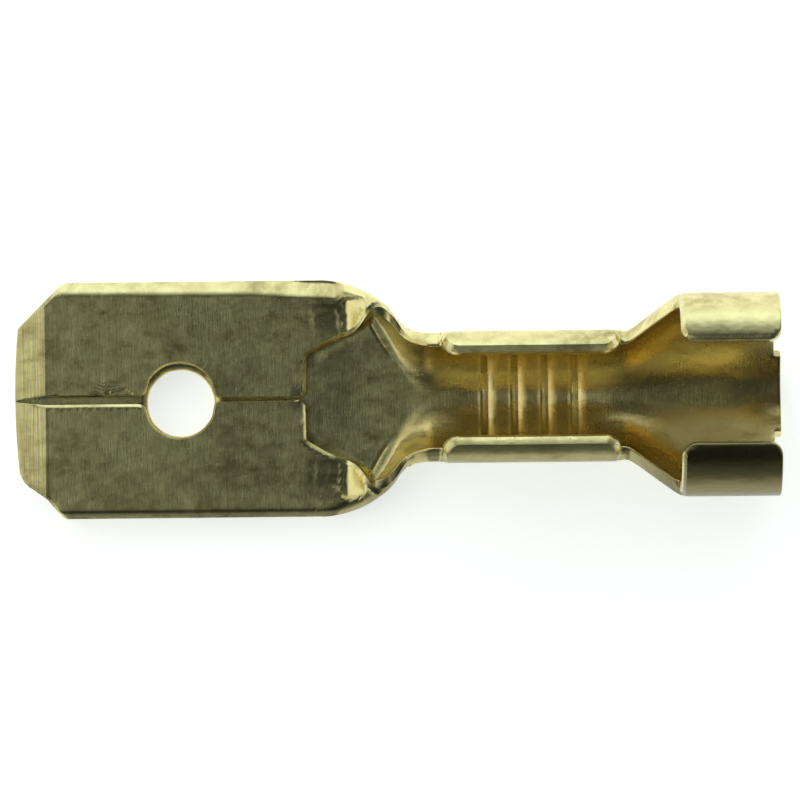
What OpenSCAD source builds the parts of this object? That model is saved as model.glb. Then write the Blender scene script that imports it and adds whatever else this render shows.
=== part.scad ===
// Male spade terminal: one brass sheet, folded double into a flat tab and rolled into two open crimp barrels.
// Lengths are in millimetres. X runs from the tab's tip to the wire end, Z is up, and the underside is at Z = 0.
// Positions along the terminal are measured from the tip, and the last step centres the length on X = 0.

/* [Sheet] */
// thickness of the brass sheet
sheet_t = 0.4; // [0.3:0.05:0.5]
// gap between the two layers of the folded tab
hem_gap = 0.02; // [0.02:0.01:0.06]

/* [Tab] */
// width of the tab over its two folds
tab_w = 6.3; // [5:0.1:8]
// length from the tip to the cut ends of the folded wings
tab_len = 7.75; // [7:0.05:8]
// radius of the slightly bulged tip edge
tip_r = 19; // [10:1:40]
// offset of the bulge's middle from the middle line
tip_mid = 0.1; // [-0.3:0.05:0.3]
// thickness left at the very tip
tip_t = 0.24; // [0.15:0.01:0.4]
// length of the steep nose at the tip
nose_len = 0.17; // [0.05:0.01:0.3]
// thickness behind the steep nose
nose_t = 0.44; // [0.3:0.01:0.6]
// length of the pressed lead-in slope, nose included
lead_len = 0.82; // [0.5:0.02:1.2]
// size of the straight corner cut on the +Y side of the tip
corner_cut = 1.31; // [0.6:0.01:1.6]
// diameter of the round hole through the tab
hole_d = 1.76; // [1.4:0.02:2.2]
// diameter of the half-round notches in the upper layer around the hole
notch_d = 2.08; // [1.8:0.02:2.4]
// distance from the tip to the hole
hole_x = 4.43; // [3.5:0.01:5]
// offset of the hole from the middle line
hole_y = -0.06; // [-0.2:0.01:0.2]
// width of the open seam between tip and hole
seam_open = 0.2; // [0.05:0.01:0.4]
// distance from the tip at which the seam reaches that width
seam_lead = 1; // [0.5:0.1:2]
// width of the closed seam behind the hole
seam_shut = 0.04; // [0.03:0.01:0.1]

/* [Neck] */
// position where the sides begin to curve inward
neck_x = 8.1; // [7.9:0.05:8.5]
// radius of the outward-bulging part of each side
neck_out_r = 2.7; // [1.5:0.1:4]
// radius of the hollow part of each side
neck_in_r = 1.3; // [0.8:0.1:2]
// position where the fold begins to open
open_x = 8.84; // [8.4:0.02:9]
// position where the folded wing begins to lift
lift_x = 8.98; // [8.9:0.02:9.2]
// position where the wing stands upright
stand_x = 9.5; // [9.4:0.02:10]
// position of the notch between the tab's wing and the neck wall
notch_x = 9.37; // [9.1:0.01:9.6]
// width of the wing beside the fold where the tab's wing is cut square
wing_root = 1.63; // [1:0.01:2]
// width of the wing beside the fold where the fold begins to open
wing_end = 0.98; // [0.5:0.01:1.2]

/* [Wire barrel] */
// outer radius of the round bottom
wire_r = 1.74; // [1.4:0.02:2]
// position of the wings' front end
wire_front = 11.37; // [11.2:0.01:11.8]
// position of the wings' rear end
wire_rear = 16.05; // [15.5:0.01:16.4]
// height of the straight part of each wing
wire_wall = 0.9; // [0.3:0.05:1.5]
// outer radius of the curl at the top of each wing
wire_curl_r = 0.9; // [0.6:0.05:1.2]
// angle of the curl
wire_curl_a = 62; // [20:1:85]
// corner radius of the wings, seen from above
wire_corner_r = 0.32; // [0.1:0.02:0.5]
// number of pressed grip grooves
groove_n = 4; // [2:1:5]
// position of the first groove
groove_x = 12.58; // [12:0.02:13]
// distance between grooves
groove_pitch = 0.8; // [0.6:0.05:1]
// width of a groove at the surface
groove_w = 0.4; // [0.2:0.02:0.5]
// offset of a groove's bottom towards the tip
groove_lean = 0.05; // [0:0.01:0.1]
// depth of a groove
groove_d = 0.09; // [0.04:0.01:0.15]

/* [Insulation barrel] */
// outer radius of the round bottom
ins_r = 2.68; // [2.2:0.02:3]
// position of the wings' front end
ins_front = 17.6; // [17.2:0.01:18]
// position of the wings' rear end
ins_rear = 20.22; // [19.8:0.01:20.6]
// height of the straight part of each wing
ins_wall = 0.6; // [0.2:0.05:1.2]
// outer radius of the curl at the top of each wing
ins_curl_r = 1.6; // [1.2:0.05:2]
// angle of the curl
ins_curl_a = 78; // [40:1:88]
// corner radius of the wings, seen from above
ins_corner_r = 0.3; // [0.1:0.02:0.5]
// length of the stub left where the carrier strip was cut off
stub_len = 0.18; // [0.1:0.01:0.4]
// width of the stub
stub_w = 2.24; // [1.6:0.02:2.8]

/* [Hidden] */
$fa = 3;
$fs = 0.08;
tab_t = 2 * sheet_t + hem_gap;
fold_y = tab_w / 2 - tab_t / 2;
wire_x = [wire_front, wire_rear];
ins_x = [ins_front, ins_rear];
total_len = ins_rear + stub_len;
// worn corner on the -Y side of the tip: a small round, a step, and two short straight cuts
worn_mid = [0.87, -1.69];
worn_r = 0.79;
worn_step = [0.306, -2.243];
worn_bend = [0.85, -2.62];
worn_end = 1.29;
// turning angle of each neck curve, from the drop in half-width between tab and wire barrel
neck_a = acos(1 - (tab_w / 2 - wire_r) / (neck_out_r + neck_in_r));
neck_end = neck_x + (neck_out_r + neck_in_r) * sin(neck_a);
// angle of the neck and flare walls at their cut edges, just short of upright
wall_a = 86;
// length of straight barrel before and after the flare
flare_lead = 0.25;
flare_tail = 0.04;
// overlap of the curved transitions with their neighbours, and the hair by which they sit inside them
lap = 0.05;
inset = 0.006;
// steps along each transition and around each bend
neck_steps = 40;
flare_steps = 8;
bend_steps = 11;
// smallest flat beside a bend
flat_min = 0.005;
// length by which cutting shapes reach past the part
over = 1;
brass = [0.72, 0.62, 0.36];

function smooth(u) = let (c = min(max(u, 0), 1)) c * c * (3 - 2 * c);
function mix(a, b, u) = a + (b - a) * u;

// half-width over the outside at position x: straight tab, bulged curve, hollow curve, wire barrel
function neck_half(x) =
    x <= neck_x ? tab_w / 2
    : x <= neck_x + neck_out_r * sin(neck_a)
        ? tab_w / 2 - neck_out_r + sqrt(pow(neck_out_r, 2) - pow(x - neck_x, 2))
    : x < neck_end
        ? wire_r + neck_in_r - sqrt(pow(neck_in_r, 2) - pow(neck_end - x, 2))
    : wire_r;
// share by which the fold has opened: quick at first, eased into the barrel
function opened(u) = let (c = min(max(u, 0), 1)) 0.6 * c + 1.6 * pow(c, 2) - 1.2 * pow(c, 3);
// outer bend radius, which grows from the tight fold to the round barrel
function neck_bend(x) = min(mix(tab_t / 2, wire_r, opened((x - open_x) / (neck_end - open_x))), neck_half(x));
// bend angle, which opens from the closed fold to the upright wall
function neck_turn(x) = mix(180, wall_a, smooth((x - lift_x) / (stand_x - lift_x)));
// width of the wing left beyond the bend
function neck_wing(x) = lookup(x, [[tab_len, wing_root], [open_x, wing_end], [notch_x, 0]]);

// outer radius of the flare at position x
function flare_r(x) =
    let (x0 = wire_x[1] + flare_lead, x1 = ins_x[0] - flare_tail)
    mix(wire_r, ins_r, min(max((x - x0) / (x1 - x0), 0), 1));

// one face of a bent half-section: flat floor, bend of outer radius r and angle a, then a straight wing.
// d is the depth of the face below the sheet's outer face
function half_face(half, r, a, wing, d) =
    let (floor_w = max(half - r, flat_min), bend = half - floor_w, tip = max(wing, flat_min))
    concat(
        [[0, d]],
        [for (i = [0 : bend_steps])
            let (u = a * i / bend_steps)
            [floor_w + (bend - d) * sin(u), bend - (bend - d) * cos(u)]],
        [[floor_w + (bend - d) * sin(a) + tip * cos(a), bend - (bend - d) * cos(a) + tip * sin(a)]]
    );
// the same face carried across to the other side
function whole_face(h) = concat([for (i = [len(h) - 1 : -1 : 1]) [-h[i][0], h[i][1]]], h);
// closed ring of points around the sheet at position x
function ring(x, half, r, a, wing) =
    let (out = whole_face(half_face(half, r, a, wing, inset)),
         inn = whole_face(half_face(half, r, a, wing, sheet_t - inset)),
         n = len(out))
    concat([for (p = out) [x, p[0], p[1]]], [for (i = [n - 1 : -1 : 0]) [x, inn[i][0], inn[i][1]]]);

// skin over a row of rings, with a strip of quads closing each end
module loft(rings) {
    n = len(rings[0]);
    last = len(rings) - 1;
    pts = [for (r = rings) for (p = r) p];
    sides = [for (k = [0 : last - 1]) for (i = [0 : n - 1])
        let (j = (i + 1) % n)
        [k * n + i, (k + 1) * n + i, (k + 1) * n + j, k * n + j]];
    start = [for (i = [0 : n / 2 - 2]) [n - 1 - i, i, i + 1, n - 2 - i]];
    end = last * n;
    finish = [for (i = [0 : n / 2 - 2]) [end + i, end + n - 1 - i, end + n - 2 - i, end + i + 1]];
    polyhedron(points = pts, faces = concat(sides, start, finish), convexity = 10);
}

// section drawn in (y, z), carried along X
module along_x(x0, x1) {
    translate([x0, 0, 0])
        rotate([90, 0, 90])
            linear_extrude(height = x1 - x0)
                children();
}

// two layers with a half-round fold at each side
module tab_section() {
    difference() {
        union() {
            translate([-fold_y, 0])
                square([2 * fold_y, tab_t]);
            for (s = [-1, 1])
                translate([s * fold_y, tab_t / 2])
                    circle(r = tab_t / 2);
        }
        translate([-fold_y, sheet_t])
            square([2 * fold_y, hem_gap]);
    }
}

// outline of the tab from above: bulged tip, straight corner cut, and the worn corner with its small step
module tab_outline() {
    half = tab_w / 2;
    difference() {
        intersection() {
            translate([0, -half])
                square([tab_len, tab_w]);
            translate([tip_r, tip_mid])
                circle(r = tip_r, $fn = 360);
        }
        polygon([[-over, half - corner_cut - over], [corner_cut + over, half + over], [-over, half + over]]);
        polygon([[-over, worn_step[1]], worn_step, worn_bend, [worn_end, -half],
            [worn_end, -half - over], [-over, -half - over]]);
        difference() {
            translate([-over, worn_step[1]])
                square([over + worn_step[0], worn_mid[1] - worn_step[1]]);
            translate(worn_mid)
                circle(r = worn_r);
        }
    }
}

// space above the lead-in slope, drawn in (x, z) and carried across the tab
module lead_space() {
    mid = tab_t / 2;
    slope = (tab_t - nose_t) / 2 / (lead_len - nose_len);
    translate([0, tab_w, 0])
        rotate([90, 0, 0])
            linear_extrude(height = 2 * tab_w)
                polygon([[-over, mid + tip_t / 2], [0, mid + tip_t / 2], [nose_len, mid + nose_t / 2],
                    [lead_len + over, tab_t + slope * over], [-over, tab_t + slope * over]]);
}

// gap where the two wings meet: closed at the tip, open as far as the hole, closed behind it
module seam_space() {
    wide = seam_open / 2;
    shut = seam_shut / 2;
    end = tab_len + over;
    translate([0, 0, sheet_t + hem_gap / 2])
        linear_extrude(height = tab_t)
            polygon([[-over, -shut], [0, -shut], [seam_lead, -wide], [hole_x, -wide], [hole_x, -shut],
                [end, -shut], [end, shut], [hole_x, shut], [hole_x, wide], [seam_lead, wide],
                [0, shut], [-over, shut]]);
}

module tab() {
    difference() {
        intersection() {
            along_x(0, tab_len)
                tab_section();
            linear_extrude(height = tab_t)
                tab_outline();
        }
        lead_space();
        translate([0, 0, tab_t])
            mirror([0, 0, 1])
                lead_space();
        seam_space();
        translate([hole_x, hole_y, -over])
            cylinder(d = hole_d, h = tab_t + 2 * over);
        translate([hole_x, hole_y, sheet_t + hem_gap / 2])
            cylinder(d = notch_d, h = tab_t);
    }
}

module neck() {
    x0 = tab_len - lap;
    x1 = wire_x[0] + lap;
    loft([for (k = [0 : neck_steps])
        let (x = mix(x0, x1, k / neck_steps))
        ring(x, neck_half(x), neck_bend(x), neck_turn(x), neck_wing(x))]);
}

module flare() {
    x0 = wire_x[1] - lap;
    x1 = ins_x[0] + lap;
    loft([for (k = [0 : flare_steps])
        let (x = mix(x0, x1, k / flare_steps))
        ring(x, flare_r(x), flare_r(x), wall_a, 0)]);
}

// part of a ring of sheet with outer radius r, from the +Y direction round to angle a
module curl(r, a) {
    intersection() {
        difference() {
            circle(r = r);
            circle(r = r - sheet_t);
        }
        polygon([[0, 0], [2 * r, 0], 2 * r * [cos(a / 2), sin(a / 2)], 2 * r * [cos(a), sin(a)]]);
    }
}

// open barrel: half-round bottom, two straight walls and two inward curls
module barrel_section(r, wall, curl_r, curl_a) {
    translate([0, r])
        difference() {
            circle(r = r);
            circle(r = r - sheet_t);
            translate([-2 * r, 0])
                square([4 * r, 2 * r]);
        }
    for (s = [0, 1])
        mirror([s, 0]) {
            translate([r - sheet_t, r])
                square([sheet_t, wall]);
            translate([r - curl_r, r + wall])
                curl(curl_r, curl_a);
        }
}

// spaces that round the four wing corners of a barrel, seen from above
module corner_spaces(ends, tip_y, height, r) {
    margin = 0.2;
    for (s = [0, 1], e = [0, 1])
        mirror([0, s, 0])
            translate([ends[e], tip_y, height])
                mirror([e, 0, 0])
                    linear_extrude(height = 2 * ins_r)
                        difference() {
                            translate([-margin, -margin])
                                square(r + margin);
                            translate([r, r])
                                circle(r = r);
                        }
}

// grip groove pressed across the inside of the wire barrel: round at the bottom, straight up the walls
module groove() {
    reach = 0.05;
    inner_r = wire_r - sheet_t;
    spread = 1 + reach / groove_d;
    front = -groove_lean - (groove_w / 2 - groove_lean) * spread;
    rear = -groove_lean + (groove_w / 2 + groove_lean) * spread;
    v_shape = [[inner_r - reach, front], [inner_r + groove_d, -groove_lean], [inner_r - reach, rear]];
    translate([0, 0, wire_r]) {
        rotate([0, 90, 0])
            rotate([0, 0, -90])
                rotate_extrude(angle = 180)
                    polygon(v_shape);
        for (s = [0, 1])
            mirror([0, s, 0])
                linear_extrude(height = wire_wall / 2)
                    polygon([for (p = v_shape) [p[1], p[0]]]);
    }
}

module wire_barrel() {
    tip_y = wire_r - wire_curl_r + (wire_curl_r - sheet_t) * cos(wire_curl_a);
    difference() {
        along_x(wire_x[0], wire_x[1])
            barrel_section(wire_r, wire_wall, wire_curl_r, wire_curl_a);
        corner_spaces(wire_x, tip_y, wire_r + wire_wall / 2, wire_corner_r);
        for (i = [0 : groove_n - 1])
            translate([groove_x + i * groove_pitch, 0, 0])
                groove();
    }
}

module insulation_barrel() {
    tip_y = ins_r - ins_curl_r + (ins_curl_r - sheet_t) * cos(ins_curl_a);
    difference() {
        along_x(ins_x[0], total_len)
            barrel_section(ins_r, ins_wall, ins_curl_r, ins_curl_a);
        for (s = [0, 1])
            mirror([0, s, 0])
                translate([ins_rear, stub_w / 2, -over])
                    cube([over, 2 * ins_r, 4 * ins_r]);
        corner_spaces(ins_x, tip_y, ins_r + ins_wall / 2, ins_corner_r);
    }
}

// the whole folded sheet, centred on its length
module terminal() {
    color(brass)
        translate([-total_len / 2, 0, 0]) {
            tab();
            neck();
            wire_barrel();
            flare();
            insulation_barrel();
        }
}

terminal();
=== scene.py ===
import math

import bpy
import numpy as np
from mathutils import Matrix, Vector, kdtree
from mathutils.geometry import delaunay_2d_cdt


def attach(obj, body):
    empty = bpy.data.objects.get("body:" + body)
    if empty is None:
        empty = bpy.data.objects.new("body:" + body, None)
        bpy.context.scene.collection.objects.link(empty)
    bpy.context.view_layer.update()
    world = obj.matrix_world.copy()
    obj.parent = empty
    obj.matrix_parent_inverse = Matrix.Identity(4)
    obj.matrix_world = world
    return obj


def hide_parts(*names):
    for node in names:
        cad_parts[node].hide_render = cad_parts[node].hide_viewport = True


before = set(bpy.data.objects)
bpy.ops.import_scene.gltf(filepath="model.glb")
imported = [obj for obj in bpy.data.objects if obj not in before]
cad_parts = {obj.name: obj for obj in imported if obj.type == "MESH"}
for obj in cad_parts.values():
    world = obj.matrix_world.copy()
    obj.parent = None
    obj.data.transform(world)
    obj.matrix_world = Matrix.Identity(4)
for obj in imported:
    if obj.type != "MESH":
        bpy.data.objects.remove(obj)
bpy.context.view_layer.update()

# The terminal is one strip of rolled brass sheet, stamped to a flat outline, folded double and pressed at
# the tab, and rolled up into two open barrels. The flat sheet is drawn first, in millimetres, with x from
# the tab's tip and v across the sheet, and each of its points is then folded into place.
MM = 0.001
sheet_t = 0.4
half_t = sheet_t / 2
hem_gap = 0.02
tab_half = 3.15
hem_r = sheet_t + hem_gap / 2
hem_mid = hem_r - half_t
hem_top = 2 * hem_r
fold_y = tab_half - hem_r
hem_end = fold_y + math.pi * hem_mid
tab_len = 7.75
open_x = 8.84
notch_x = 9.37
turn_x = (8.9, 10.0)
wire_x = (11.37, 16.05)
ins_x = (17.6, 20.22)
stub_len = 0.18
stub_half = 1.12
total_len = ins_x[1] + stub_len
wire_r = 1.74
ins_r = 2.68
wall_a = math.radians(86)
wire_wall, wire_curl_r, wire_curl_a = 0.9, 0.9, math.radians(62)
ins_wall, ins_curl_r, ins_curl_a = 0.6, 1.6, math.radians(78)


def smooth(u):
    """0 to 1, eased at both ends."""
    c = np.clip(u, 0, 1)
    return c * c * (3 - 2 * c)


def above(u, start, rise):
    """0 up to start, then eased up to 1 over rise."""
    return smooth((u - start) / rise)


def below(u, end, fall):
    """1 at first, then eased down over fall to 0 at end."""
    return smooth((end - u) / fall)


def between(u, start, rise, end, fall):
    """1 between start and end, eased up over rise and down over fall."""
    return above(u, start, rise) * below(u, end, fall)


def ramp(u, soft):
    """0 below zero and u above it, with a soft corner."""
    return (np.sqrt(u * u + soft ** 2) + u) / 2


def mix(a, b, u):
    return a + (b - a) * u


# half-width from above: straight tab, bulged and hollow neck, wire barrel, flare, insulation barrel
neck_x = 8.1
bulge_r = 2.7
hollow_r = 1.3
neck_a = math.acos(1 - (tab_half - wire_r) / (bulge_r + hollow_r))
neck_mid = neck_x + bulge_r * math.sin(neck_a)
neck_end = neck_mid + hollow_r * math.sin(neck_a)
flare_x = (16.3, 17.56)
flare_soft = 0.08


def flare_part(x):
    """Share of the flare's widening that is reached at x."""
    widened = ramp(x - flare_x[0], flare_soft) - ramp(x - flare_x[1], flare_soft)
    return widened / (flare_x[1] - flare_x[0])


def half_width(x):
    bulge = tab_half - bulge_r + np.sqrt(np.maximum(bulge_r ** 2 - (x - neck_x) ** 2, 0))
    hollow = wire_r + hollow_r - np.sqrt(np.maximum(hollow_r ** 2 - (neck_end - x) ** 2, 0))
    rear = mix(wire_r, ins_r, flare_part(x))
    return np.select([x <= neck_x, x <= neck_mid, x < neck_end], [tab_half, bulge, hollow], rear)


# the fold opens at a slow, even rate over the first share of the neck
slow_rate, slow_share = 0.43, 0.22


def bend_r(x):
    """Outer radius of the bend: the tight fold, opened evenly at first and eased into the barrel."""
    c = np.clip((x - open_x) / (neck_end - open_x), 0, 1)
    opened = mix(slow_rate * c, 1, above(c, slow_share, 1 - slow_share))
    front = mix(hem_r, wire_r, opened)
    return np.where(x < neck_end, np.minimum(front, half_width(x)), half_width(x))


def bend_a(x, last=math.pi / 2):
    """Angle that the sheet is turned up by: flat on itself in the tab, upright from the neck on."""
    return mix(math.pi, last, smooth((x - turn_x[0]) / (turn_x[1] - turn_x[0])))


# ahead of the barrels the wall has no end, so nothing curls over there
endless_wall = 50.0


def fold(x, v, h):
    """Point of the folded sheet, from a point of the flat sheet and its height above the sheet's middle."""
    x, v, h = np.broadcast_arrays(np.asarray(x, float), v, h)
    s = np.abs(v)
    flat = half_width(x) - bend_r(x)
    mid_r = bend_r(x) - half_t
    turn = bend_a(x)
    rear = flare_part(x)
    wall = np.where(x < neck_end, endless_wall, mix(wire_wall, ins_wall, rear))
    curl_r = mix(wire_curl_r, ins_curl_r, rear) - half_t
    on_flat = np.minimum(s, flat)
    on_bend = np.clip((s - flat) / mid_r, 0, turn)
    on_wall = np.clip(s - flat - mid_r * turn, 0, wall)
    on_curl = np.maximum(s - flat - mid_r * turn - wall, 0) / curl_r
    y = on_flat + mid_r * np.sin(on_bend) + on_wall * np.cos(turn)
    z = half_t + mid_r * (1 - np.cos(on_bend)) + on_wall * np.sin(turn)
    y = y + curl_r * (np.sin(turn + on_curl) - np.sin(turn))
    z = z + curl_r * (np.cos(turn) - np.cos(turn + on_curl))
    lean = on_bend + on_curl
    y = y - h * np.sin(lean)
    z = z + h * np.cos(lean)
    return np.stack([x, np.where(v < 0, -y, y), z], axis=-1)


# the tab's front edge: a slight bulge, a straight corner cut on the +Y side, a worn corner on the -Y side
tip_r = 19.0
tip_mid = 0.1
corner_line = 1.84
worn_mid, worn_r = (0.87, -1.69), 0.79
worn_step, worn_bend, worn_end = (0.306, -2.243), (0.85, -2.62), (1.29, -3.15)


def tip_edge(y):
    """Distance of the tab's front edge behind the tip, across the tab's width."""
    bulged = tip_r - np.sqrt(tip_r ** 2 - (y - tip_mid) ** 2)
    cut = y - corner_line
    worn_round = worn_mid[0] - np.sqrt(np.maximum(worn_r ** 2 - (y - worn_mid[1]) ** 2, 0))
    worn_cuts = np.interp(-y, [-worn_step[1], -worn_bend[1], -worn_end[1]],
                          [worn_step[0], worn_bend[0], worn_end[0]])
    worn = np.where(y < worn_step[1], worn_cuts, worn_round)
    return np.where(y < worn_mid[1], np.maximum(worn, bulged), np.maximum(bulged, cut))


def tab_y(s):
    """Distance from the seam line of a point s along the folded tab, on either layer."""
    turned = np.clip((s - fold_y) / hem_mid, 0, math.pi)
    past = np.maximum(s - hem_end, 0)
    return np.minimum(s, fold_y) + hem_mid * np.sin(turned) - past


def wing_s(y):
    """Place on the flat sheet of a point of the tab's wing that ends up y from the seam line."""
    return fold_y + hem_end - y


# how far the cut edge lies past the bend: along the wing's slanted end, then dipping before the wire barrel
past_x = [tab_len, open_x, notch_x, 9.6, 10.0, 10.3, 10.42, 10.6, 10.95]
past_bend = [1.63, 0.98, 0.46, 0.28, 0.13, -0.15, -0.2, -0.16, 0.0]


def edge_s(x):
    """Cut edge of the tab's wing, the neck or the flare on the flat sheet."""
    past = np.interp(x, past_x, past_bend)
    return half_width(x) - bend_r(x) + (bend_r(x) - half_t) * bend_a(x, wall_a) + past


arc_steps = 6


def rounded(corners):
    """Points along a line of (x, s, radius) corners, each rounded by an arc of its radius."""
    out = []
    for i, (x, s, r) in enumerate(corners):
        here = np.array([x, s])
        if r == 0:
            out.append(here)
            continue
        back = np.array(corners[i - 1][:2]) - here
        ahead = np.array(corners[i + 1][:2]) - here
        back, ahead = back / np.linalg.norm(back), ahead / np.linalg.norm(ahead)
        half = math.acos(float(np.clip(back @ ahead, -1, 1))) / 2
        axis = (back + ahead) / np.linalg.norm(back + ahead)
        centre = here + axis * r / math.sin(half)
        first = here + back * r / math.tan(half) - centre
        last = here + ahead * r / math.tan(half) - centre
        for k in range(arc_steps + 1):
            p = mix(first, last, k / arc_steps)
            out.append(centre + p / np.linalg.norm(p) * r)
    return out


# the hole is punched through the lower layer, and each wing has a half-round notch around it. The seam
# between the wings is open towards the tip and shut behind the hole. The barrels' -Y wings are cut longer.
hole_x, hole_y, hole_r = 4.41, -0.095, 0.885
notch_at, notch_r = 4.385, 0.945
notch_y = {1: 0.03, -1: -0.06}
notch_corner = 0.22
seam_shut, seam_half = 0.02, 0.1
seam_mouth_x, seam_mouth_r = 0.8, 2.0
wing_end_y, wing_end_lean = 1.1, 0.02
wing_corner_r = (0.2, 0.12)
wire_top = (wire_r - half_t) * math.pi / 2 + wire_wall + (wire_curl_r - half_t) * wire_curl_a
ins_top = (ins_r - half_t) * math.pi / 2 + ins_wall + (ins_curl_r - half_t) * ins_curl_a
longer = {1: 0.0, -1: 0.12}
wire_foot_r, wire_tip_r = 0.08, 0.45
ins_foot_r, ins_tip_r = 0.06, (0.4, 0.35)
stub_foot_r, stub_corner_r = 0.05, 0.06
slant_from = tab_len + 0.1
neck_to = wire_x[0] - 0.12
flare_from = wire_x[1] + 0.15
flare_to = ins_x[0] - 0.1
# points drawn along the tip, a notch, a wing's slanted end, a side of the neck, a side of the flare, the hole
tip_n, notch_n, slant_n, neck_n, flare_n, hole_n = 150, 36, 24, 28, 22, 84


def edge_points(start, end, n):
    """Points along the cut edge, without the first."""
    return [np.array([x, float(edge_s(x))]) for x in np.linspace(start, end, n)[1:]]


def side_outline(side):
    """Edge of half the flat sheet, from the middle of the tip to the middle of the stub, for side 1 or -1."""
    wire_tip, ins_tip = wire_top + longer[side], ins_top + longer[side]
    tip_s = np.linspace(0, wing_s(seam_shut / 2), tip_n)
    pts = [np.array([x, s]) for x, s in zip(tip_edge(side * tab_y(tip_s)), tip_s)]
    middle_y = notch_y[side] * side
    open_a = math.pi - math.asin((seam_half - middle_y) / notch_r)
    shut_a = math.asin((seam_shut - middle_y) / notch_r)
    turned = notch_corner * 2 / notch_r
    arc = np.concatenate([[open_a], np.linspace(open_a - turned, shut_a + turned, notch_n), [shut_a]])
    notch = [(notch_at + notch_r * math.cos(a), wing_s(middle_y + notch_r * math.sin(a))) for a in arc]
    pts += rounded([(*pts[-1], 0), (seam_mouth_x, wing_s(seam_half), seam_mouth_r),
                    (*notch[0], notch_corner), (*notch[1], 0)])[1:-1]
    pts += [np.array(p) for p in notch[1:-1]]
    pts += rounded([(*notch[-2], 0), (*notch[-1], notch_corner),
                    (tab_len, wing_s(seam_shut), wing_corner_r[0]),
                    (tab_len + wing_end_lean, wing_s(wing_end_y), wing_corner_r[1]),
                    (slant_from, float(edge_s(slant_from)), 0)])[1:]
    pts += edge_points(slant_from, notch_x, slant_n)
    pts += edge_points(notch_x, neck_to, neck_n)
    pts += rounded([(*pts[-1], 0), (wire_x[0], float(edge_s(wire_x[0])), wire_foot_r),
                    (wire_x[0], wire_tip, wire_tip_r), (wire_x[1], wire_tip, wire_tip_r),
                    (wire_x[1], float(edge_s(wire_x[1])), wire_foot_r),
                    (flare_from, float(edge_s(flare_from)), 0)])[1:]
    pts += edge_points(flare_from, flare_to, flare_n)
    pts += rounded([(*pts[-1], 0), (ins_x[0], float(edge_s(ins_x[0])), ins_foot_r),
                    (ins_x[0], ins_tip, ins_tip_r[0]), (ins_x[1], ins_tip, ins_tip_r[1]),
                    (ins_x[1], stub_half, stub_foot_r), (total_len, stub_half, stub_corner_r),
                    (total_len, 0, 0)])[1:]
    return np.array(pts)


def divided(loop, step):
    """Closed loop with its long stretches divided."""
    out = []
    for a, b in zip(loop, np.roll(loop, -1, axis=0)):
        n = max(1, math.ceil(np.linalg.norm(b - a) / step))
        out += [mix(a, b, k / n) for k in range(n)]
    return np.array(out)


# the loops run with the sheet on their left
edge_step = 0.07
outline = divided(np.concatenate([side_outline(-1) * [1, -1], side_outline(1)[::-1][1:-1]]), edge_step)
turns = np.linspace(0, -2 * math.pi, hole_n, endpoint=False)
hole = np.stack([hole_x + hole_r * np.cos(turns), hole_y + hole_r * np.sin(turns)], axis=-1)
least_lean = 0.5


def inset(loop, d):
    """Loop moved into the sheet by d, and by no more than d / least_lean at a sharp corner."""
    ahead = np.roll(loop, -1, axis=0) - loop
    ahead /= np.linalg.norm(ahead, axis=1, keepdims=True)
    back = np.roll(ahead, 1, axis=0)
    normal = np.stack([-(ahead + back)[:, 1], (ahead + back)[:, 0]], axis=-1)
    normal /= np.linalg.norm(normal, axis=1, keepdims=True)
    lean = np.maximum((normal * np.stack([-ahead[:, 1], ahead[:, 0]], axis=-1)).sum(axis=1), least_lean)
    return loop + normal * (d / lean)[:, None]


def inside(points, loop):
    """Which points lie in a loop, by counting the edges crossed to the right."""
    hit = np.zeros(len(points), bool)
    for a, b in zip(loop, np.roll(loop, -1, axis=0)):
        spans = (a[1] > points[:, 1]) != (b[1] > points[:, 1])
        if a[1] != b[1]:
            at = a[0] + (points[:, 1] - a[1]) * (b[0] - a[0]) / (b[1] - a[1])
            hit ^= spans & (points[:, 0] < at)
    return hit


def search_tree(points):
    found = kdtree.KDTree(len(points))
    for i, (x, v) in enumerate(points):
        found.insert((x, v, 0), i)
    found.balance()
    return found


# the sheet's faces are a fine net of triangles, closer where it is folded or pressed
lead_len, nose_len = 0.82, 0.17
lead_edge = 0.02
groove_n, groove_x, groove_pitch, groove_w, groove_d = 4, 12.58, 0.8, 0.4, 0.1
groove_end = groove_x + (groove_n - 1) * groove_pitch


def steps(stops):
    """Places from (start, step) pairs, each stretch divided by its own step."""
    return np.concatenate([np.linspace(a, b, max(2, round((b - a) / step)), endpoint=False)
                           for (a, step), (b, _) in zip(stops[:-1], stops[1:])])


def grid(xs, ss, side):
    return np.array([(x, side * s) for x in xs for s in ss])


x_lines = steps([(0, 0.05), (nose_len, 0.06), (lead_len - lead_edge, lead_edge), (lead_len, lead_edge),
                 (lead_len + lead_edge, 0.11), (neck_x, 0.055), (wire_x[0], 0.1),
                 (groove_x - groove_w, 0.03), (groove_end + groove_w, 0.1), (total_len, 0)])
s_lines = steps([(0.045, 0.1), (2.55, 0.05), (fold_y, 0.04), (hem_end, 0.05), (wing_s(2.6), 0.1),
                 (wing_s(-0.5), 0)])
net = np.concatenate([grid(x_lines, s_lines, 1), grid(x_lines, s_lines, -1)])
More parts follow.
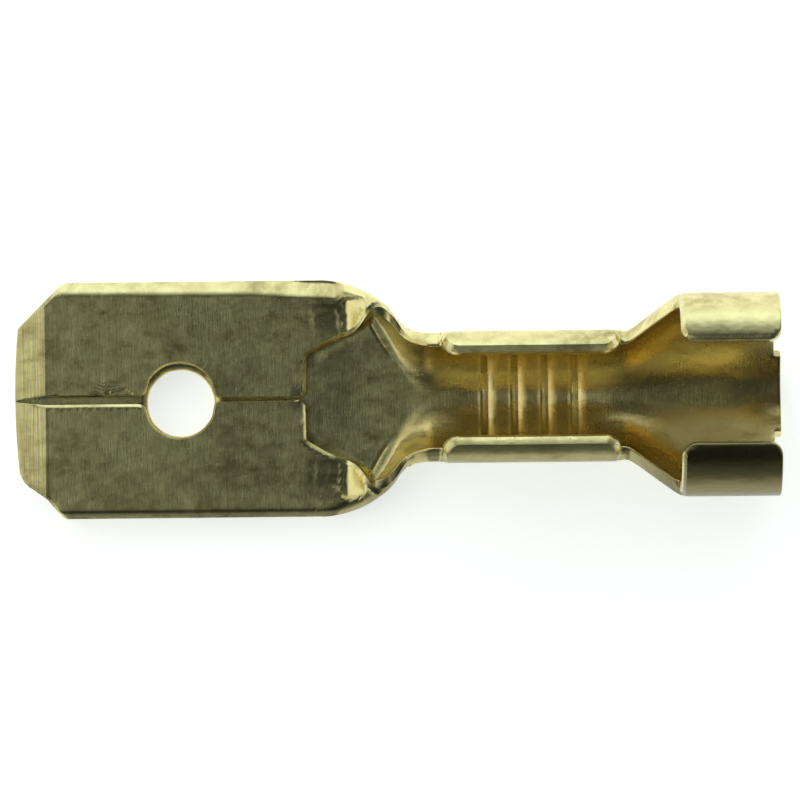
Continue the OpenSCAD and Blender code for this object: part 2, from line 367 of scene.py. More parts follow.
# close patches, as x from and to, y from and to, and side: the press marks beside the folds, the seam's
# torn stretch and the ends of the wings
close = 0.03
patches = [(7.8, 9.05, 2.86, 1.6, 1), (7.8, 9.05, 2.86, 1.6, -1), (1.7, 3.25, 0.72, 0.02, 1),
           (7.0, 7.74, 0.5, 0.02, 1), (7.0, 7.74, 0.5, 0.02, -1)]
for x0, x1, y0, y1, side in patches:
    s = net[:, 1] * side
    net = net[~((net[:, 0] > x0) & (net[:, 0] < x1) & (s > wing_s(y0)) & (s < wing_s(y1)))]
    patch_x = np.arange(x0 + close / 2, x1, close)
    patch_s = np.arange(wing_s(y0) + close / 2, wing_s(y1), close)
    net = np.concatenate([net, grid(patch_x, patch_s, side)])
# fold lines in the neck floor: three close rows of points along each
crease = np.array([(9.40, 2.14), (9.55, 1.86), (9.72, 1.55), (9.88, 1.31), (10.05, 1.08)])
crease_n, crease_w = 40, 0.045
crease_clear = crease_w * 1.4
crease_across = (0.87, 0.5)
share = np.linspace(0, 1, crease_n)
knots = np.linspace(0, 1, len(crease))
crease_pts = np.stack([np.interp(share, knots, crease[:, k]) for k in (0, 1)], axis=-1)
crease_tree = {side: search_tree(crease_pts * [1, side]) for side in (1, -1)}
for side in (1, -1):
    net = net[[crease_tree[side].find((x, v, 0))[2] > crease_clear for x, v in net]]
    for shift in (-crease_w, 0, crease_w):
        row = crease_pts + [shift * crease_across[0], shift * crease_across[1]]
        net = np.concatenate([net, row * [1, side]])

# the shears leave the outer face rolled off along its cut edge, most at the flare and the neck and little
# at the tab. Each row gives the place along the sheet, how far in the roll starts and how far down it goes.
rim_r = 0.05
roll_x, roll_in, roll_down = np.array([
    (0.9, 0.03, 0.0), (1.2, 0.05, 0.07), (3.2, 0.04, 0.05), (3.4, 0.05, 0.06), (5.4, 0.05, 0.06),
    (5.6, 0.05, 0.06), (7.5, 0.05, 0.06), (7.7, 0.09, 0.12), (9.2, 0.09, 0.12), (9.5, 0.08, 0.12),
    (10.2, 0.08, 0.12), (10.6, 0.2, 0.33), (11.25, 0.2, 0.33), (11.4, 0.11, 0.17), (16.0, 0.11, 0.17),
    (16.2, 0.2, 0.33), (17.4, 0.2, 0.33), (17.6, 0.11, 0.17), (20.0, 0.08, 0.1), (20.2, 0.03, 0.03)]).T
edge_x, edge_out = outline[:, 0], np.abs(outline[:, 1])
upper_side = outline[:, 1] > 0
wing_cut = ~upper_side & (edge_out > hem_end)
# the -Y wing has a low burr along its end and a sheared slant behind it, the seam's -Y lip is worn round,
# the corner cuts are rolled off at the top, and the tips of the barrels' wings have rolls of their own
end_span = (tab_len - 0.2, tab_len + 0.03)
burr = wing_cut & (edge_x > end_span[0]) & (edge_x < end_span[1])
sheared = wing_cut & (edge_x >= end_span[1]) & (edge_x < open_x)
seam_lip = ~upper_side & (edge_x > 0.5) & (edge_x < 3.4) & (edge_out > wing_s(0.3))
corner = (edge_x < 1.35) & (edge_out > fold_y + 0.3) & (edge_out < wing_s(1.8))
ins_tips = (edge_x > ins_x[0]) & (edge_out > ins_top - 0.15)
wire_tips = (np.abs(edge_x - sum(wire_x) / 2) < 2.4) & (edge_out > wire_top - 0.3)
places, own_in, own_down = zip(
    (burr, 0.08, -0.05), (sheared, 0.12, 0.09), (seam_lip, 0.085, 0.06), (corner & upper_side, 0.1, 0.09),
    (corner, 0.08, 0.06), (ins_tips, 0.04, 0.05), (wire_tips & upper_side, 0.08, 0.25),
    (wire_tips, 0.12, 0.2))
roll_in = np.select(places, own_in, np.interp(edge_x, roll_x, roll_in))
roll_down = np.select(places, own_down, np.interp(edge_x, roll_x, roll_down))
hole_roll = np.full(len(hole), 0.03)
loops = [outline, hole]
rolls = [(roll_in, roll_down), (hole_roll, hole_roll)]
# a row of points marks the start of each wide roll, and of the dish around the hole
wide_roll = 0.075
dish_w, dish_d = 0.14, 0.1
clear = 0.025
bounds_in = [inset(loop, rim_r) for loop in loops]
net = np.concatenate([net, inset(outline, roll_in)[roll_in > wide_roll], inset(hole, dish_w)])
near = search_tree(np.concatenate(bounds_in))
net = net[inside(net, bounds_in[0]) & ~inside(net, bounds_in[1])]
net = net[[near.find((x, v, 0))[2] > clear for x, v in net]]
flat_pts = np.concatenate(bounds_in + [net])
starts = np.cumsum([0] + [len(b) for b in bounds_in])
ties = [(starts[k] + i, starts[k] + (i + 1) % len(b)) for k, b in enumerate(bounds_in) for i in range(len(b))]
within_ties, weld = 1, 1e-7
made = delaunay_2d_cdt([Vector(p) for p in flat_pts], ties, [], within_ties, weld)
flat_pts = np.array([tuple(p) for p in made[0]])
new_id = {old: new for new, olds in enumerate(made[3]) for old in olds}
tris = np.array(made[2])
middles = flat_pts[tris].mean(axis=1)
tris = tris[inside(middles, bounds_in[0]) & ~inside(middles, bounds_in[1])]


def edge_gap(points, loop):
    """Distance of each point from a loop, and the loop's point that is nearest."""
    tree = search_tree(loop)
    ids = np.array([tree.find((x, v, 0))[1] for x, v in points])
    gap = np.full(len(points), np.inf)
    for a, b in ((loop[ids - 1], loop[ids]), (loop[ids], loop[(ids + 1) % len(loop)])):
        u = np.clip(((points - a) * (b - a)).sum(axis=1) / ((b - a) ** 2).sum(axis=1), 0, 1)
        gap = np.minimum(gap, np.linalg.norm(points - mix(a, b, u[:, None]), axis=1))
    return gap, ids


def rolled(d, r_in, r_down):
    """Depth of the outer face below its plane, at d from the cut edge. A burr stands above it."""
    r = np.clip(rim_r - d, 0, rim_r)
    rim = rim_r - np.sqrt(rim_r ** 2 - r ** 2)
    lowered = r_down * np.clip(1 - d / r_in, 0, 1)
    return np.where(r_down < 0, rim + lowered, np.maximum(rim, lowered))


# both faces of the flat sheet, and the rounded rim between them
count = len(flat_pts)
sunk = np.zeros(count)
for loop, (r_in, r_down) in zip(loops, rolls):
    gap, ids = edge_gap(flat_pts, loop)
    sunk += rolled(gap, r_in[ids], r_down[ids])
sheet = [np.column_stack([flat_pts, np.full(count, half_t)]), np.column_stack([flat_pts, sunk - half_t])]
faces = [tuple(t) for t in tris] + [tuple(t[::-1] + count) for t in tris]
total = 2 * count
rim_steps = 3
rim_turns = [math.pi / 2 * j / rim_steps for j in range(1, rim_steps + 1)]
for k, (loop, (r_in, r_down)) in enumerate(zip(loops, rolls)):
    n = len(loop)
    inner_ring = [new_id[starts[k] + i] for i in range(n)]
    rings = [inner_ring]
    rim = [(rim_r * (1 - math.sin(a)), np.full(n, half_t - rim_r * (1 - math.cos(a)))) for a in rim_turns]
    for a in rim_turns[::-1]:
        d = rim_r * (1 - math.sin(a))
        rim.append((d, rolled(d, r_in, r_down) - half_t))
    for d, h in rim:
        sheet.append(np.column_stack([inset(loop, d), h]))
        rings.append(list(range(total, total + n)))
        total += n
    rings.append([i + count for i in inner_ring])
    for a, b in zip(rings[:-1], rings[1:]):
        faces += [(b[i], b[(i + 1) % n], a[(i + 1) % n], a[i]) for i in range(n)]
sheet = np.concatenate(sheet)
points = fold(*sheet.T)
x, y, z = points.T
sheet_x, sheet_v, sheet_h = sheet.T
sheet_s = np.abs(sheet_v)
inner = sheet_h > half_t / 2
outer = sheet_h < -0.01

# the corners are cut after folding, straight through both layers
corner_zone, corner_reach = 2.5, 0.9
own_edge = tip_edge(np.sign(sheet_v) * tab_y(sheet_s))
x += np.where(x < corner_zone, (tip_edge(y) - own_edge) * smooth(1 - (x - own_edge) / corner_reach), 0)
across = np.abs(y)
# the wing's outer face starts just before the middle of the fold
past_fold = sheet_s - half_width(x) + hem_r
fold_mid = 0.98 * math.pi / 2 * hem_mid
on_wing = outer & (past_fold > fold_mid) & (x < notch_x)

# the press slopes the +Y hem's upper side, wider towards the neck, and leaves the -Y hem a narrow chamfer
slope_tip_w, slope_mid_w, slope_neck_w = 0.3, 0.03, 0.14
slope_fall, slope_soft = 0.95, 0.09
chamfer_w, chamfer_fall, chamfer_soft = 0.17, 0.84, 0.03
hem_zone, hem_low, hem_fade = 0.6, hem_r + 0.02, 0.35
slope_w = slope_tip_w + slope_mid_w * above(x, 2, 3) + slope_neck_w * above(x, 6, 2.2)
from_edge = half_width(x) - across
sloped = hem_top - slope_fall * ramp(slope_w - from_edge, slope_soft)
chamfered = hem_top - chamfer_fall * ramp(chamfer_w - from_edge, chamfer_soft)
hem = np.maximum(np.where(y > 0, sloped, chamfered), hem_low) - sheet_h - half_t
on_hem = on_wing & (x < open_x) & (from_edge < hem_zone) & (z > hem_r)
z[:] = np.where(on_hem, mix(z, hem, below(x, open_x, hem_fade)), z)

# the press leaves the wings a little low towards the neck, with a sharp valley beside each fold and a facet
# behind it. Ahead of the valley are one uneven dent on the +Y wing and three shallow steps on the -Y wing.
wing_low = 0.06
z -= np.where(on_wing, wing_low * between(x, 3.8, 4.6, 9.3, 0.4) * below(across, 2.8, 0.5), 0)
mark_fade = np.interp(x, [8.5, 8.8], [0.45, 0.1])
beside = between(across, 1.5, 0.35, 2.7, mark_fade)
ragged = 0.035 * np.sin(5.3 * y + 1.1) + 0.022 * np.sin(13.7 * y)
ragged += 0.02 * np.sin(29 * y + 0.6) * np.sin(7 * x)
mark_x = np.where(y > 0, x + ragged, x + 0.04 + 0.7 * ragged)
one_dent = np.interp(mark_x, [7.88, 7.98, 8.08, 8.3, 8.55, 8.64, 8.75, open_x, 9.25, 9.36],
                     [0, 0.008, 0, -0.026, -0.06, -0.05, -0.056, -0.09, -0.067, 0])
three_steps = np.interp(mark_x, [7.8, 7.98, 8.06, 8.34, 8.38, 8.62, 8.67, 8.75, open_x, 9.25, 9.36],
                        [0, -0.019, -0.018, -0.05, -0.05, -0.079, -0.073, -0.077, -0.11, -0.082, 0])
valley_from = 8.7
uneven = 0.75 + 0.45 * np.sin(3.7 * y + 0.8) * np.sin(8.3 * y + 1.9 * x)
mark = np.where(y > 0, one_dent, three_steps) * np.where(mark_x < valley_from, uneven, 1)
z += np.where(on_wing, beside * mark, 0)

# the seam's torn stretch, wrinkled beside the tear, and the ends of the wings bent down beside the seam
torn_d, wrinkle_d, wrinkle_pitch, bent_d = 0.05, 0.008, 0.1, 0.025
tear_y = np.interp(x, [1.8, 2.3, 2.6, 2.94, 3.25], [0.1, 0.18, 0.27, 0.35, 0.12])
tear_y += 0.012 * np.sin(31 * x) + 0.008 * np.sin(73 * x)
torn = between(x, 1.8, 0.3, 3.3, 0.2) * below(y, tear_y, 0.04)
z -= np.where(on_wing & (y > 0), torn_d * torn, 0)
wrinkle = np.sin((y + 0.22 * (x - 2.5) + 0.02 * np.sin(11 * x)) * 2 * math.pi / wrinkle_pitch)
wrinkled = between(x, 2.0, 0.3, 2.95, 0.3) * below(y, 0.6, 0.2)
z += np.where(on_wing & (y > tear_y), wrinkle_d * wrinkle * wrinkled, 0)
bent = above(x, 7.3, 0.4) * below(across, 0.5, 0.35)
z -= np.where(on_wing & (x < tab_len + 0.2), bent_d * bent, 0)

# the punch draws the hole's upper edge down into a dish
hole_gap = np.hypot(sheet_x - hole_x, sheet_v - hole_y) - hole_r
z -= np.where(inner, dish_d * np.clip(1 - hole_gap / dish_w, 0, 1), 0)

# the floor is thinned a little from the neck on, with a faint keel in the wire barrel
thin_d, step_d, keel_d, keel_half = 0.04, 0.02, 0.03, 0.5
thinned = between(x, 7.4, 2.2, 19.5, 3) * below(sheet_s, 2.6, 2)
stepped = step_d * above(x, 7.65, 0.4)
keel = np.clip(1 - sheet_s / keel_half, 0, 1) * between(x, 11.6, 0.8, 15.9, 0.8)
z -= np.where(inner, (thin_d + stepped) * thinned + keel_d * keel, 0)
# it is drawn down along the edges of the wings that lie on it
drawn_d, drawn_w = 0.04, 0.3
wing_y = np.interp(x, [tab_len, open_x, notch_x], [wing_end_y, 1.74, 2.1])
drawn = smooth(1 - (wing_y - sheet_s) / drawn_w) * between(x, 7.7, 0.3, 9.6, 0.3)
z -= np.where(inner, drawn_d * drawn * below(sheet_s, 2.9, 0.5), 0)
# the strip's last end was left a little twisted where it was cut off
twist_d = 0.1
z += twist_d * between(sheet_v, -1.9, 0.6, -0.2, 0.5) * above(x, 18.9, 1.3)
sunk_end = np.interp(sheet_v, [-0.2, 0.3, 1.2, 2.0], [0, 0.05, 0.05, 0])
z -= np.where(inner, sunk_end * above(x, 18.8, 1.4), 0)
# fold lines cross the floor at the neck, and fade out over their last points towards the barrel
crease_d, crease_fade = 0.022, 14
for i in np.nonzero(inner & (x > 9.2) & (x < 10.3) & (sheet_s > 0.8))[0]:
    _, k, far = crease_tree[np.sign(sheet_v[i])].find((sheet_x[i], sheet_v[i], 0))
    z[i] -= crease_d * max(0, 1 - far / crease_w) * min(1, (crease_n - k) / crease_fade)

# the tip is pressed thinner into a lead-in
tip_half, nose_half = 0.12, 0.22
squeeze = np.interp(x, [0, nose_len, lead_len], [tip_half / hem_r, nose_half / hem_r, 1])
z[:] = hem_r + (z - hem_r) * squeeze
x -= total_len / 2

sharp_a = math.radians(40)
mesh = bpy.data.meshes.new("terminal_sheet")
mesh.from_pydata((points * MM).tolist(), [], [tuple(int(i) for i in f) for f in faces])
mesh.polygons.foreach_set("use_smooth", [True] * len(mesh.polygons))
mesh.set_sharp_from_angle(angle=sharp_a)
mesh.attributes.new("sheet_mm", "FLOAT_VECTOR", "POINT").data.foreach_set("vector", sheet.ravel())
# the grooves are pressed into the inner face only, and run out up the walls
flat_top = sheet_h > half_t - 1e-6
pressed_face = np.where(flat_top, below(sheet_s, 3.9, 0.4), 0)
# the -Y flanks behind the tab are darkened with a painted shade on the outer face, with the cut edges at the
# neck and the flare but without the top of the folded wing. So are the floor's middle towards the rear and
# the -Y hem's side, and the tip's nose is made duller.
outer_h, cut_h = -0.1, 0.16
front_share, floor_share, hem_share, nose_share = 0.75, 0.6, 0.35, 0.45
at_neck = (sheet_x > 9.4) & (sheet_x < wire_x[0])
at_flare = (sheet_x > wire_x[1]) & (sheet_x < ins_x[0])
dull_and_painted_shade = below(sheet_v, -1.4, 1.2) * above(sheet_x, 8.3, 0.7)
dull_and_painted_shade *= sheet_h < np.where(at_neck | at_flare, cut_h, outer_h)
dull_and_painted_shade *= np.where(sheet_x < 9.7, below(sheet_s, 3.35, 0.2), 1)
dull_and_painted_shade *= mix(front_share, 1, above(sheet_x, 16.5, 1))
# a painted shade along the middle of the floor towards the rear, widening towards the end
floor_shade_mid = np.interp(sheet_x, [18.6, 19.8], [0.15, 0.45])
floor_shade_half = np.interp(sheet_x, [18.6, 19.8], [0.7, 1.25])
painted_floor_shade = above(sheet_x, 15.6, 1.5) * below(np.abs(sheet_v - floor_shade_mid), floor_shade_half, 0.5)
dull_and_painted_shade += np.where(inner, floor_share * painted_floor_shade, 0)
hem_side = between(sheet_s, fold_y, 0.1, hem_end - 0.04, 0.1) * between(sheet_x, 1.2, 0.2, 9, 0.6)
dull_and_painted_shade += np.where((sheet_h < outer_h) & (sheet_v < 0), hem_share * hem_side, 0)
nose = below(sheet_x - own_edge, nose_len + 0.03, 0.06)
dull_and_painted_shade += np.where(sheet_x < 1, nose_share * nose, 0)
# the floor of the insulation barrel is scuffed rougher on the -Y side, in a rough oval, and a paler tone is
# painted there as a painted reflection
scuff_mid, scuff_half = (18.7, -1.25), (1.4, 0.6)
oval = np.hypot((sheet_x - scuff_mid[0]) / scuff_half[0], (sheet_v - scuff_mid[1]) / scuff_half[1])
# the pressed facets beside the folds are left almost free of the stains, so they show lighter
unstained_facets = 0.9 * above(sheet_x, 8.75, 0.1)
for name, values in [("pressed_face", pressed_face), ("dull_and_painted_shade", np.minimum(dull_and_painted_shade, 1)),
                     ("scuff_and_sheen", np.where(inner, below(oval, 1.5, 1), 0)),
                     ("tarnish", np.where(on_wing, 1 - unstained_facets, 1))]:
    mesh.attributes.new(name, "FLOAT", "POINT").data.foreach_set("value", values)
terminal = bpy.data.objects.new("terminal_sheet", mesh)
bpy.context.collection.objects.link(terminal)


def linear(code):
    """Linear colour of an sRGB hex value."""
    out = [int(code[i:i + 2], 16) / 255 for i in (1, 3, 5)]
    return [c / 12.92 if c <= 0.04045 else ((c + 0.055) / 1.055) ** 2.4 for c in out] + [1.0]


def add_node(tree, kind, settings=(), links=()):
    """Node with its settings and links. A setting is a property, or an input by name or number."""
    node = tree.nodes.new(kind)
    for key, value in dict(settings).items():
        if isinstance(key, str) and hasattr(node, key):
            setattr(node, key, value)
        else:
            node.inputs[key].default_value = value
    for key, socket in dict(links).items():
        tree.links.new(socket, node.inputs[key])
    return node


# rolled brass sheet: a satin metal with a faint grain across the strip, soft clouds, small raised specks,
# fine scratches and dull stains, and a yellower tone inside the barrels that is a painted warm reflection.
# The rolling grain is drawn at 0.07 mm, coarser than it is, so that it shows. Each noise has its size in
# millimetres along and across the strip, its seed and its detail. The patterns also change through the
# sheet's thickness, so the two faces differ.
clean_tone, stain_tone = "#EDE2A5", "#A2935E"
# the inside tone is a yellower painted warm reflection on the inner face inside the barrels
# the painted shade tone is a painted shade on the -Y flanks, the -Y hem's side and the floor's middle
# the scuff tone is a paler painted reflection on the scuffed oval of the floor
inside_reflection_tone, painted_shade_tone, scuff_sheen_tone = "#F0DA93", "#7F7650", "#F8EDB6"
relief_d = 0.036 * MM
noises = [("grain", (0.07, 2.4), 3.1, 3.0), ("fine", (0.035, 0.25), 5.7, 2.0),
          ("cloud", (1.6, 0.9), 8.3, 3.0), ("stain", (0.5, 0.35), 1.9, 4.0)]
noise_rough, noise_through = 0.6, 2
speck_size = (0.11, 0.1)
scratch_len, scratch_thin, scratch_turn = 0.9, 26.0, 0.7
marks_through = 9
brass = bpy.data.materials.new("rolled brass sheet")
brass.use_nodes = True
tree = brass.node_tree
tree.nodes.clear()
place_mm = add_node(tree, "ShaderNodeAttribute", {"attribute_name": "sheet_mm"}).outputs["Vector"]
place_axes = add_node(tree, "ShaderNodeSeparateXYZ", links={0: place_mm}).outputs
layer = {name: add_node(tree, "ShaderNodeAttribute", {"attribute_name": name}).outputs["Fac"]
         for name in ("dull_and_painted_shade", "scuff_and_sheen", "tarnish")}
for name, size, seed, detail in noises:
    scaled = add_node(tree, "ShaderNodeMapping",
                      {"Location": (seed, 2 * seed, 0), "Scale": (1 / size[0], 1 / size[1], noise_through)},
                      {"Vector": place_mm})
    layer[name] = add_node(tree, "ShaderNodeTexNoise",
                           {"Scale": 1.0, "Detail": detail, "Roughness": noise_rough},
                           {"Vector": scaled.outputs[0]}).outputs["Fac"]
cells = add_node(tree, "ShaderNodeMapping",
                 {"Scale": (1 / speck_size[0], 1 / speck_size[1], marks_through)}, {"Vector": place_mm})
speck = add_node(tree, "ShaderNodeTexVoronoi", {"Scale": 1.0, "Randomness": 1.0},
                 {"Vector": cells.outputs[0]})
chosen = add_node(tree, "ShaderNodeSeparateColor", links={0: speck.outputs["Color"]})
slant = add_node(tree, "ShaderNodeMapping",
                 {"Rotation": (0, 0, scratch_turn),
                  "Scale": (1 / scratch_len, 1 / scratch_len, marks_through)}, {"Vector": place_mm})
slant = add_node(tree, "ShaderNodeMapping", {"Scale": (1.0, scratch_thin, 1.0)},
                 {"Vector": slant.outputs[0]})
scratch = add_node(tree, "ShaderNodeTexNoise", {"Scale": 1.0, "Detail": 1.0}, {"Vector": slant.outputs[0]})
for name, source, low, high, to_low, to_high in [
        ("speck_shape", speck.outputs["Distance"], 0.05, 0.22, 1.0, 0.0),
        ("speck_chosen", chosen.outputs["Red"], 0.6, 0.64, 0.0, 1.0),
        ("speck_cluster", layer["cloud"], 0.42, 0.58, 0.1, 1.0),
        ("scratch", scratch.outputs["Fac"], 0.77, 0.81, 0.0, 1.0),
        ("stained", layer["stain"], 0.38, 0.66, 0.0, 1.0),
        ("clouded", layer["cloud"], 0.32, 0.68, 0.1, 1.0),
        ("gloss", layer["cloud"], 0.3, 0.7, 0.22, 0.3),
        ("worn", layer["stain"], 0.35, 0.55, 0.45, 1.0),
        ("inside", place_axes["Z"], 0.05, 0.2, 0.0, 0.8),
        ("barrels", place_axes["X"], 9.8, 11.4, 0.0, 1.0),
        ("lead_in", place_axes["X"], 0.9, 0.7, 0.0, 1.0)]:
    layer[name] = add_node(tree, "ShaderNodeMapRange", {1: low, 2: high, 3: to_low, 4: to_high},
                           {0: source}).outputs[0]
for name, first, second in [
        ("speck", "speck_shape", "speck_chosen"), ("speck", "speck", "speck_cluster"),
        ("dull", "stained", "clouded"), ("dull", "dull", "tarnish"), ("inside", "inside", "barrels"),
        ("scuff_and_sheen", "scuff_and_sheen", "worn"), ("streak", "grain", "lead_in")]:
    layer[name] = add_node(tree, "ShaderNodeMath", {"operation": "MULTIPLY"},
                           {0: layer[first], 1: layer[second]}).outputs[0]
summed = {"height": layer["cloud"], "gloss": layer["gloss"]}
for sum_name, name, weight in [
        ("height", "grain", 0.045), ("height", "fine", 0.08), ("height", "speck", 0.16),
        ("height", "scratch", -0.12), ("height", "streak", 0.3),
        ("gloss", "fine", 0.08), ("gloss", "inside", -0.02), ("gloss", "scuff_and_sheen", 0.25)]:
    summed[sum_name] = add_node(tree, "ShaderNodeMath", {"operation": "MULTIPLY_ADD", 1: weight},
                                {0: layer[name], 2: summed[sum_name]}).outputs[0]
relief = add_node(tree, "ShaderNodeBump", {"Strength": 1.0, "Distance": relief_d},
                  {"Height": summed["height"]})
colour = add_node(tree, "ShaderNodeMix", {"data_type": "RGBA", 6: linear(clean_tone), 7: linear(stain_tone)},
                  {0: layer["dull"]})
# these tones lay a painted warm reflection inside the barrels, a painted shade on the -Y side and a paler
# painted reflection on the scuffed oval
for name, tone in [("inside", inside_reflection_tone), ("dull_and_painted_shade", painted_shade_tone), ("scuff_and_sheen", scuff_sheen_tone)]:
    colour = add_node(tree, "ShaderNodeMix", {"data_type": "RGBA", 7: linear(tone)},
                      {0: layer[name], 6: colour.outputs[2]})
shader = add_node(tree, "ShaderNodeBsdfPrincipled", {"Metallic": 1.0},
                  {"Base Color": colour.outputs[2], "Roughness": summed["gloss"],
                   "Normal": relief.outputs[0]})
add_node(tree, "ShaderNodeOutputMaterial", links={"Surface": shader.outputs[0]})

# the wire barrel's serrations: equal grooves pressed into the inner face, steep towards the tip, with a lip
serrations = bpy.data.node_groups.new("serrations", "GeometryNodeTree")
serrations.interface.new_socket("Geometry", in_out="INPUT", socket_type="NodeSocketGeometry")
groove_sizes = {"First": groove_x, "Pitch": groove_pitch, "Last": groove_n - 1.0, "Depth": groove_d,
                "Steep side": 0.15, "Gentle side": 0.27, "Hollow": 2.0, "Lip": 0.016, "Lip gap": 0.03,
                "Lip reach": 0.07}
sockets = {name: serrations.interface.new_socket(name, in_out="INPUT", socket_type="NodeSocketFloat")
           for name in groove_sizes}
serrations.interface.new_socket("Geometry", in_out="OUTPUT", socket_type="NodeSocketGeometry")
given = add_node(serrations, "NodeGroupInput").outputs
where = add_node(serrations, "GeometryNodeInputNamedAttribute",
                 {"data_type": "FLOAT_VECTOR", "Name": "sheet_mm"})
face = add_node(serrations, "GeometryNodeInputNamedAttribute", {"data_type": "FLOAT", "Name": "pressed_face"})
along = add_node(serrations, "ShaderNodeSeparateXYZ", links={0: where.outputs[0]})
term = {name: given[name] for name in groove_sizes}
term["x"] = along.outputs["X"]
term["face"] = face.outputs[0]
for name, operation, *parts in [
        ("past first", "SUBTRACT", "x", "First"), ("number", "DIVIDE", "past first", "Pitch"),
        ("number", "ROUND", "number"), ("number", "MAXIMUM", "number", 0.0),
        ("number", "MINIMUM", "number", "Last"), ("middle", "MULTIPLY_ADD", "number", "Pitch", "First"),
        ("off", "SUBTRACT", "x", "middle"), ("after", "DIVIDE", "off", "Gentle side"),
        ("before", "DIVIDE", "off", "Steep side"), ("before", "MULTIPLY", "before", -1.0),
        ("far", "MAXIMUM", "after", "before"), ("deep", "SUBTRACT", 1.0, "far"),
        ("deep", "MAXIMUM", "deep", 0.0), ("deep", "POWER", "deep", "Hollow"),
        ("cut", "MULTIPLY", "deep", "Depth"), ("lip off", "ADD", "off", "Steep side"),
        ("lip off", "ADD", "lip off", "Lip gap"), ("lip off", "DIVIDE", "lip off", "Lip reach"),
        ("lip off", "ABSOLUTE", "lip off"), ("raised", "SUBTRACT", 1.0, "lip off"),
        ("raised", "MAXIMUM", "raised", 0.0), ("raised", "MULTIPLY", "raised", "Lip"),
        ("height", "SUBTRACT", "raised", "cut"), ("height", "MULTIPLY", "height", "face"),
        ("height", "MULTIPLY", "height", MM)]:
    numbers = {i: part for i, part in enumerate(parts) if isinstance(part, float)}
    linked = {i: term[part] for i, part in enumerate(parts) if isinstance(part, str)}
    step = add_node(serrations, "ShaderNodeMath", {"operation": operation, **numbers}, linked)
    term[name] = step.outputs[0]
normal = add_node(serrations, "GeometryNodeInputNormal")
push = add_node(serrations, "ShaderNodeVectorMath", {"operation": "SCALE"},
                {0: normal.outputs[0], "Scale": term["height"]})
pressed = add_node(serrations, "GeometryNodeSetPosition",
                   links={"Geometry": given["Geometry"], "Offset": push.outputs[0]})
whole = add_node(serrations, "GeometryNodeRealizeInstances", links={0: pressed.outputs[0]})
coated = add_node(serrations, "GeometryNodeSetMaterial", {"Material": brass}, {"Geometry": whole.outputs[0]})
add_node(serrations, "NodeGroupOutput", links={0: coated.outputs[0]})
press = terminal.modifiers.new("serrations", "NODES")
press.node_group = serrations
for name, size in groove_sizes.items():
    press[sockets[name].identifier] = size
view = bpy.context.evaluated_depsgraph_get()
finished = bpy.data.meshes.new_from_object(terminal.evaluated_get(view))
terminal.modifiers.clear()
terminal.data = finished
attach(terminal, "root")
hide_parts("terminal")

# The floor is a plain sheet of white paper that the terminal lies on. It shows as white to the camera and in
# the brass, keeps the terminal's shadow, and falls off in brightness towards -Y, away from the window.
floor_half = 400 * MM
paper_tone, paper_glow, paper_rough = "#F4F4F2", "#FAFFFE", 0.9
window_way = (-0.2, 0.72, 0.66)
shadow_reach, shadow_level = 7 * MM, 0.6
fade_y, fade_level = (-30 * MM, -9 * MM), (0.5, 0.92)
floor_mesh = bpy.data.meshes.new("floor")
floor_mesh.from_pydata([(-floor_half, -floor_half, 0), (floor_half, -floor_half, 0),
                        (floor_half, floor_half, 0), (-floor_half, floor_half, 0)], [], [(0, 1, 2, 3)])
floor = bpy.data.objects.new("floor", floor_mesh)
bpy.context.collection.objects.link(floor)
paper = bpy.data.materials.new("white paper")
paper.use_nodes = True
tree = paper.node_tree
tree.nodes.clear()
path = add_node(tree, "ShaderNodeLightPath")
seen = add_node(tree, "ShaderNodeMath", {"operation": "MAXIMUM"},
                {0: path.outputs["Is Camera Ray"], 1: path.outputs["Is Glossy Ray"]})
seen = add_node(tree, "ShaderNodeMath", {"operation": "MAXIMUM"},
                {0: seen.outputs[0], 1: path.outputs["Is Transmission Ray"]})
lit_from = add_node(tree, "ShaderNodeCombineXYZ", dict(enumerate(window_way)))
shadow = add_node(tree, "ShaderNodeAmbientOcclusion", {"Distance": shadow_reach, "samples": 16},
                  {"Normal": lit_from.outputs[0]})
shadow = add_node(tree, "ShaderNodeMapRange", {3: shadow_level, 4: 1.0}, {0: shadow.outputs["AO"]})
spot = add_node(tree, "ShaderNodeTexCoord")
spot = add_node(tree, "ShaderNodeSeparateXYZ", links={0: spot.outputs["Object"]})
fade = add_node(tree, "ShaderNodeMapRange",
                {"interpolation_type": "SMOOTHSTEP", 1: fade_y[0], 2: fade_y[1],
                 3: fade_level[0], 4: fade_level[1]}, {0: spot.outputs["Y"]})
glow = add_node(tree, "ShaderNodeMath", {"operation": "MULTIPLY"}, {0: seen.outputs[0], 1: shadow.outputs[0]})
glow = add_node(tree, "ShaderNodeMath", {"operation": "MULTIPLY"}, {0: glow.outputs[0], 1: fade.outputs[0]})
shader = add_node(tree, "ShaderNodeBsdfPrincipled",
                  {"Base Color": linear(paper_tone), "Roughness": paper_rough,
                   "Emission Color": linear(paper_glow)}, {"Emission Strength": glow.outputs[0]})
add_node(tree, "ShaderNodeOutputMaterial", links={"Surface": shader.outputs[0]})
floor_mesh.materials.append(paper)

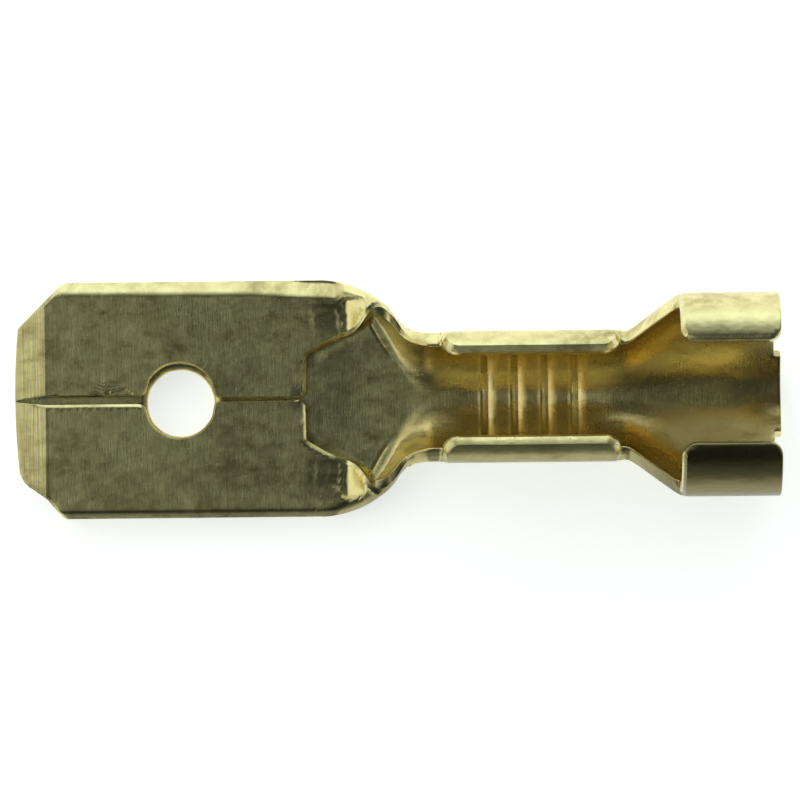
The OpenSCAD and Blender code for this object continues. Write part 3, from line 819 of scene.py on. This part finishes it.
# The light is a dim room with a wide low window on the +Y side, a pale wall on the -X side, a ceiling that
# grows lighter towards that wall, and a weak glow from the far side and the other end wall. One soft lamp at
# the window casts the shadow. The tints are linear.
room_tint, wall_tint, lamp_tint = (0.88, 1.0, 1.02, 1), (0.98, 1.0, 0.9, 1), (0.9, 1.0, 0.99)
strip_slant = 0.7
world = bpy.data.worlds.new("room")
bpy.context.scene.world = world
world.use_nodes = True
tree = world.node_tree
tree.nodes.clear()
way = add_node(tree, "ShaderNodeTexCoord")
way = add_node(tree, "ShaderNodeSeparateXYZ", links={0: way.outputs["Generated"]}).outputs
widened = add_node(tree, "ShaderNodeMath", {"operation": "MULTIPLY_ADD", 1: strip_slant},
                   {0: way["X"], 2: way["Y"]})
sideways = add_node(tree, "ShaderNodeMath", {"operation": "MULTIPLY", 1: -1.0}, {0: way["Y"]})
sideways = add_node(tree, "ShaderNodeMath", {"operation": "MAXIMUM"},
                    {0: sideways.outputs[0], 1: widened.outputs[0]})
light = {}
for name, source, shape, low, high, to_low, to_high in [
        ("ceiling", way["X"], "LINEAR", -1.0, 0.17, 0.84, 0.0),
        ("strip", sideways.outputs[0], "SMOOTHSTEP", 0.08, 0.42, 1.0, 0.0),
        ("overhead", way["X"], "SMOOTHSTEP", -0.12, 0.06, 0.085, 0.0),
        ("wall", way["X"], "SMOOTHSTEP", -0.45, -0.84, 0.035, 1.02),
        ("window", way["Y"], "SMOOTHSTEP", 0.54, 1.0, 0.0, 1.1),
        ("wall end", way["Y"], "SMOOTHSTEP", -0.9, -0.3, 0.3, 1.0),
        ("far side", way["Y"], "SMOOTHSTEP", -0.68, -1.0, 0.0, 0.27),
        ("end wall", way["X"], "SMOOTHSTEP", 0.4, 0.95, 0.0, 0.3),
        ("wall tint", way["X"], "LINEAR", -0.1, -0.6, 0.0, 1.0)]:
    light[name] = add_node(tree, "ShaderNodeMapRange",
                           {"interpolation_type": shape, 1: low, 2: high, 3: to_low, 4: to_high},
                           {0: source}).outputs[0]
for name, operation, first, second in [
        ("ceiling", "ADD", "ceiling", "overhead"), ("ceiling", "MULTIPLY", "ceiling", "strip"),
        ("wall", "MULTIPLY", "wall", "wall end"), ("level", "MAXIMUM", "ceiling", "wall"),
        ("level", "MAXIMUM", "level", "window"), ("level", "MAXIMUM", "level", "far side"),
        ("level", "MAXIMUM", "level", "end wall")]:
    light[name] = add_node(tree, "ShaderNodeMath", {"operation": operation},
                           {0: light[first], 1: light[second]}).outputs[0]
tint = add_node(tree, "ShaderNodeMix", {"data_type": "RGBA", 6: room_tint, 7: wall_tint},
                {0: light["wall tint"]})
room = add_node(tree, "ShaderNodeBackground", links={"Color": tint.outputs[2], "Strength": light["level"]})
add_node(tree, "ShaderNodeOutputWorld", links={"Surface": room.outputs[0]})
# the lamp's place and size are in metres
lamp_at = Vector((-0.05, 0.36, 0.10))
lamp_size = (0.5, 0.12)
lamp_level = 0.4
lamp_data = bpy.data.lights.new("window", "AREA")
lamp_data.shape = "RECTANGLE"
lamp_data.size, lamp_data.size_y = lamp_size
lamp_data.energy = lamp_level * math.pi * lamp_size[0] * lamp_size[1]
lamp_data.color = lamp_tint
lamp = bpy.data.objects.new("window", lamp_data)
lamp.location = lamp_at
lamp.rotation_euler = (-lamp_at).to_track_quat("-Z", "Y").to_euler()
bpy.context.collection.objects.link(lamp)

# The camera looks straight down from above the middle of the terminal, turned a little, as in the
# photograph. Its scale holds at the height of the tab's top.
picture_px, px_per_mm = 800, 37.6
view_h, top_h = 190 * MM, 0.8 * MM
aim = (0.05 * MM, -0.064 * MM)
turned_by = math.radians(-0.6)
camera_data = bpy.data.cameras.new("camera")
camera_data.sensor_width = 36
camera_data.lens = camera_data.sensor_width * view_h / (picture_px / px_per_mm * MM)
camera_data.clip_start = 0.01
camera = bpy.data.objects.new("camera", camera_data)
camera.location = (*aim, view_h + top_h)
camera.rotation_euler = (0, 0, turned_by)
bpy.context.collection.objects.link(camera)
bpy.context.scene.camera = camera
bpy.context.scene.view_settings.view_transform = "Standard"
